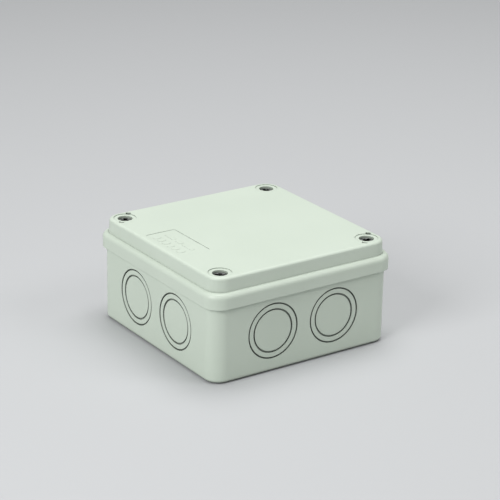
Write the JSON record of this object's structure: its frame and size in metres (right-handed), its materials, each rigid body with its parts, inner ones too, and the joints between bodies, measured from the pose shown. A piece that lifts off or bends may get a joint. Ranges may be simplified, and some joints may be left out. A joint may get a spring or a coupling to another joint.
{
  "type": "electrical junction box",
  "caption": "Square surface-mount junction box with knockouts in its walls, a stepped lid held by captive corner screws, a seal and a screw terminal block.",
  "frame": {"origin": "centre of the back face, where the box meets the wall", "axes": "+Z out of the wall towards the lid; the marking panel is on the -X side of the lid; the sealable screws are at the corners (+X, -Y) and (-X, +Y)"},
  "size_m": [0.1116, 0.1116, 0.0557],
  "materials": {
    "grey_shell": "fine satin mould texture",
    "seal_rubber": "matte",
    "ring_rubber": "matte",
    "plated_steel": "bright zinc plate",
    "block_plastic": "satin",
    "clamp_brass": "machined"
  },
  "bodies": {
    "base": {"base_box": "grey_shell", "terminal_block": "block_plastic", "brass_clamp_1": "clamp_brass", "brass_clamp_2": "clamp_brass", "brass_clamp_3": "clamp_brass", "brass_clamp_4": "clamp_brass", "brass_clamp_5": "clamp_brass", "block_screw_left": "plated_steel", "block_screw_right": "plated_steel"},
    "lid": {"lid": "grey_shell", "lid_seal": "seal_rubber"},
    "ring_front_left": {"screw_ring_front_left": "ring_rubber"},
    "screw_front_left": {"lid_screw_front_left": "plated_steel"},
    "ring_front_right": {"screw_ring_front_right": "ring_rubber"},
    "screw_front_right": {"lid_screw_front_right": "plated_steel"},
    "ring_back_left": {"screw_ring_back_left": "ring_rubber"},
    "screw_back_left": {"lid_screw_back_left": "plated_steel"},
    "ring_back_right": {"screw_ring_back_right": "ring_rubber"},
    "screw_back_right": {"lid_screw_back_right": "plated_steel"},
    "plate_front_1": {"pressure_plate_front_1": "plated_steel"},
    "clamp_front_1": {"clamp_screw_front_1": "plated_steel"},
    "plate_back_1": {"pressure_plate_back_1": "plated_steel"},
    "clamp_back_1": {"clamp_screw_back_1": "plated_steel"},
    "plate_front_2": {"pressure_plate_front_2": "plated_steel"},
    "clamp_front_2": {"clamp_screw_front_2": "plated_steel"},
    "plate_back_2": {"pressure_plate_back_2": "plated_steel"},
    "clamp_back_2": {"clamp_screw_back_2": "plated_steel"},
    "plate_front_3": {"pressure_plate_front_3": "plated_steel"},
    "clamp_front_3": {"clamp_screw_front_3": "plated_steel"},
    "plate_back_3": {"pressure_plate_back_3": "plated_steel"},
    "clamp_back_3": {"clamp_screw_back_3": "plated_steel"},
    "plate_front_4": {"pressure_plate_front_4": "plated_steel"},
    "clamp_front_4": {"clamp_screw_front_4": "plated_steel"},
    "plate_back_4": {"pressure_plate_back_4": "plated_steel"},
    "clamp_back_4": {"clamp_screw_back_4": "plated_steel"},
    "plate_front_5": {"pressure_plate_front_5": "plated_steel"},
    "clamp_front_5": {"clamp_screw_front_5": "plated_steel"},
    "plate_back_5": {"pressure_plate_back_5": "plated_steel"},
    "clamp_back_5": {"clamp_screw_back_5": "plated_steel"}
  },
  "joints": [
    {"name": "lid_lift", "type": "slide", "parent": "base", "child": "lid", "axis": [0, 0, 1], "range_m": [0, 0.07]},
    {"name": "lid_screw_front_left_rise", "type": "slide", "parent": "lid", "child": "ring_front_left", "axis": [0, 0, 1], "range_m": [0, 0.0054]},
    {"name": "lid_screw_front_left_turn", "type": "hinge", "parent": "ring_front_left", "child": "screw_front_left", "pos_m": [-0.0448, -0.0448, 0.0511], "axis": [0, 0, 1], "range_deg": [0, 1080]},
    {"name": "lid_screw_front_right_rise", "type": "slide", "parent": "lid", "child": "ring_front_right", "axis": [0, 0, 1], "range_m": [0, 0.0054]},
    {"name": "lid_screw_front_right_turn", "type": "hinge", "parent": "ring_front_right", "child": "screw_front_right", "pos_m": [0.0448, -0.0448, 0.0511], "axis": [0, 0, 1], "range_deg": [0, 1080]},
    {"name": "lid_screw_back_left_rise", "type": "slide", "parent": "lid", "child": "ring_back_left", "axis": [0, 0, 1], "range_m": [0, 0.0054]},
    {"name": "lid_screw_back_left_turn", "type": "hinge", "parent": "ring_back_left", "child": "screw_back_left", "pos_m": [-0.0448, 0.0448, 0.0511], "axis": [0, 0, 1], "range_deg": [0, 1080]},
    {"name": "lid_screw_back_right_rise", "type": "slide", "parent": "lid", "child": "ring_back_right", "axis": [0, 0, 1], "range_m": [0, 0.0054]},
    {"name": "lid_screw_back_right_turn", "type": "hinge", "parent": "ring_back_right", "child": "screw_back_right", "pos_m": [0.0448, 0.0448, 0.0511], "axis": [0, 0, 1], "range_deg": [0, 1080]},
    {"name": "clamp_front_1_rise", "type": "slide", "parent": "base", "child": "plate_front_1", "axis": [0, 0, 1], "range_m": [0, 0.003]},
    {"name": "clamp_front_1_turn", "type": "hinge", "parent": "plate_front_1", "child": "clamp_front_1", "pos_m": [-0.02, -0.005, 0.0113], "axis": [0, 0, 1], "range_deg": [0, 1800]},
    {"name": "clamp_back_1_rise", "type": "slide", "parent": "base", "child": "plate_back_1", "axis": [0, 0, 1], "range_m": [0, 0.003]},
    {"name": "clamp_back_1_turn", "type": "hinge", "parent": "plate_back_1", "child": "clamp_back_1", "pos_m": [-0.02, 0.005, 0.0113], "axis": [0, 0, 1], "range_deg": [0, 1800]},
    {"name": "clamp_front_2_rise", "type": "slide", "parent": "base", "child": "plate_front_2", "axis": [0, 0, 1], "range_m": [0, 0.003]},
    {"name": "clamp_front_2_turn", "type": "hinge", "parent": "plate_front_2", "child": "clamp_front_2", "pos_m": [-0.01, -0.005, 0.0113], "axis": [0, 0, 1], "range_deg": [0, 1800]},
    {"name": "clamp_back_2_rise", "type": "slide", "parent": "base", "child": "plate_back_2", "axis": [0, 0, 1], "range_m": [0, 0.003]},
    {"name": "clamp_back_2_turn", "type": "hinge", "parent": "plate_back_2", "child": "clamp_back_2", "pos_m": [-0.01, 0.005, 0.0113], "axis": [0, 0, 1], "range_deg": [0, 1800]},
    {"name": "clamp_front_3_rise", "type": "slide", "parent": "base", "child": "plate_front_3", "axis": [0, 0, 1], "range_m": [0, 0.003]},
    {"name": "clamp_front_3_turn", "type": "hinge", "parent": "plate_front_3", "child": "clamp_front_3", "pos_m": [0, -0.005, 0.0113], "axis": [0, 0, 1], "range_deg": [0, 1800]},
    {"name": "clamp_back_3_rise", "type": "slide", "parent": "base", "child": "plate_back_3", "axis": [0, 0, 1], "range_m": [0, 0.003]},
    {"name": "clamp_back_3_turn", "type": "hinge", "parent": "plate_back_3", "child": "clamp_back_3", "pos_m": [0, 0.005, 0.0113], "axis": [0, 0, 1], "range_deg": [0, 1800]},
    {"name": "clamp_front_4_rise", "type": "slide", "parent": "base", "child": "plate_front_4", "axis": [0, 0, 1], "range_m": [0, 0.003]},
    {"name": "clamp_front_4_turn", "type": "hinge", "parent": "plate_front_4", "child": "clamp_front_4", "pos_m": [0.01, -0.005, 0.0113], "axis": [0, 0, 1], "range_deg": [0, 1800]},
    {"name": "clamp_back_4_rise", "type": "slide", "parent": "base", "child": "plate_back_4", "axis": [0, 0, 1], "range_m": [0, 0.003]},
    {"name": "clamp_back_4_turn", "type": "hinge", "parent": "plate_back_4", "child": "clamp_back_4", "pos_m": [0.01, 0.005, 0.0113], "axis": [0, 0, 1], "range_deg": [0, 1800]},
    {"name": "clamp_front_5_rise", "type": "slide", "parent": "base", "child": "plate_front_5", "axis": [0, 0, 1], "range_m": [0, 0.003]},
    {"name": "clamp_front_5_turn", "type": "hinge", "parent": "plate_front_5", "child": "clamp_front_5", "pos_m": [0.02, -0.005, 0.0113], "axis": [0, 0, 1], "range_deg": [0, 1800]},
    {"name": "clamp_back_5_rise", "type": "slide", "parent": "base", "child": "plate_back_5", "axis": [0, 0, 1], "range_m": [0, 0.003]},
    {"name": "clamp_back_5_turn", "type": "hinge", "parent": "plate_back_5", "child": "clamp_back_5", "pos_m": [0.02, 0.005, 0.0113], "axis": [0, 0, 1], "range_deg": [0, 1800]}
  ],
  "couplings": [
    {"joint": "lid_screw_front_left_turn", "follows": "lid_screw_front_left_rise", "rad_per_m": 3490.7},
    {"joint": "lid_screw_front_right_turn", "follows": "lid_screw_front_right_rise", "rad_per_m": 3490.7},
    {"joint": "lid_screw_back_left_turn", "follows": "lid_screw_back_left_rise", "rad_per_m": 3490.7},
    {"joint": "lid_screw_back_right_turn", "follows": "lid_screw_back_right_rise", "rad_per_m": 3490.7},
    {"joint": "clamp_front_1_turn", "follows": "clamp_front_1_rise", "rad_per_m": 10472},
    {"joint": "clamp_back_1_turn", "follows": "clamp_back_1_rise", "rad_per_m": 10472},
    {"joint": "clamp_front_2_turn", "follows": "clamp_front_2_rise", "rad_per_m": 10472},
    {"joint": "clamp_back_2_turn", "follows": "clamp_back_2_rise", "rad_per_m": 10472},
    {"joint": "clamp_front_3_turn", "follows": "clamp_front_3_rise", "rad_per_m": 10472},
    {"joint": "clamp_back_3_turn", "follows": "clamp_back_3_rise", "rad_per_m": 10472},
    {"joint": "clamp_front_4_turn", "follows": "clamp_front_4_rise", "rad_per_m": 10472},
    {"joint": "clamp_back_4_turn", "follows": "clamp_back_4_rise", "rad_per_m": 10472},
    {"joint": "clamp_front_5_turn", "follows": "clamp_front_5_rise", "rad_per_m": 10472},
    {"joint": "clamp_back_5_turn", "follows": "clamp_back_5_rise", "rad_per_m": 10472}
  ]
}
